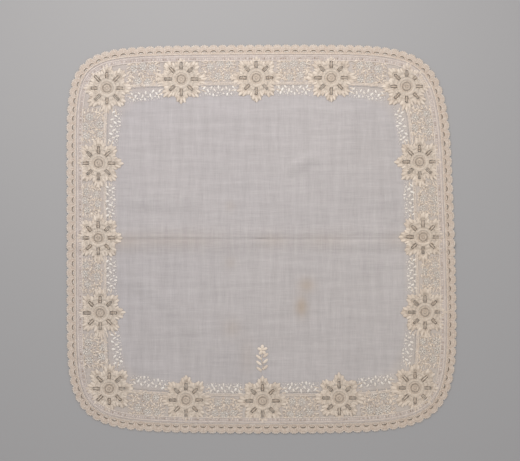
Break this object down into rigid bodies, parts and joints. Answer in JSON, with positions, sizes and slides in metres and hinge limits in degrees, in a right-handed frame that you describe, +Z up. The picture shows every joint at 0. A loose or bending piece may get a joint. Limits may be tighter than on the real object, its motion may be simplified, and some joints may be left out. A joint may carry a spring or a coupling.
{
  "type": "handkerchief",
  "caption": "Flat square linen handkerchief with rounded corners, a whitework border of openwork flower medallions and a scalloped lace edging.",
  "frame": {"origin": "on the surface it lies on, under the middle of its outline", "axes": "+Z up out of the cloth, +Y towards the upper edge of the cloth as it is laid, +X to the right"},
  "size_m": [0.3966, 0.3954, 0.003],
  "materials": {
    "linen": "sheer plain-woven linen, slightly yellowed, matt",
    "lace": "cream cotton lace thread, matt"
  },
  "bodies": {
    "root": {"linen_ground": "linen", "lace_edging": "lace"}
  },
  "joints": []
}
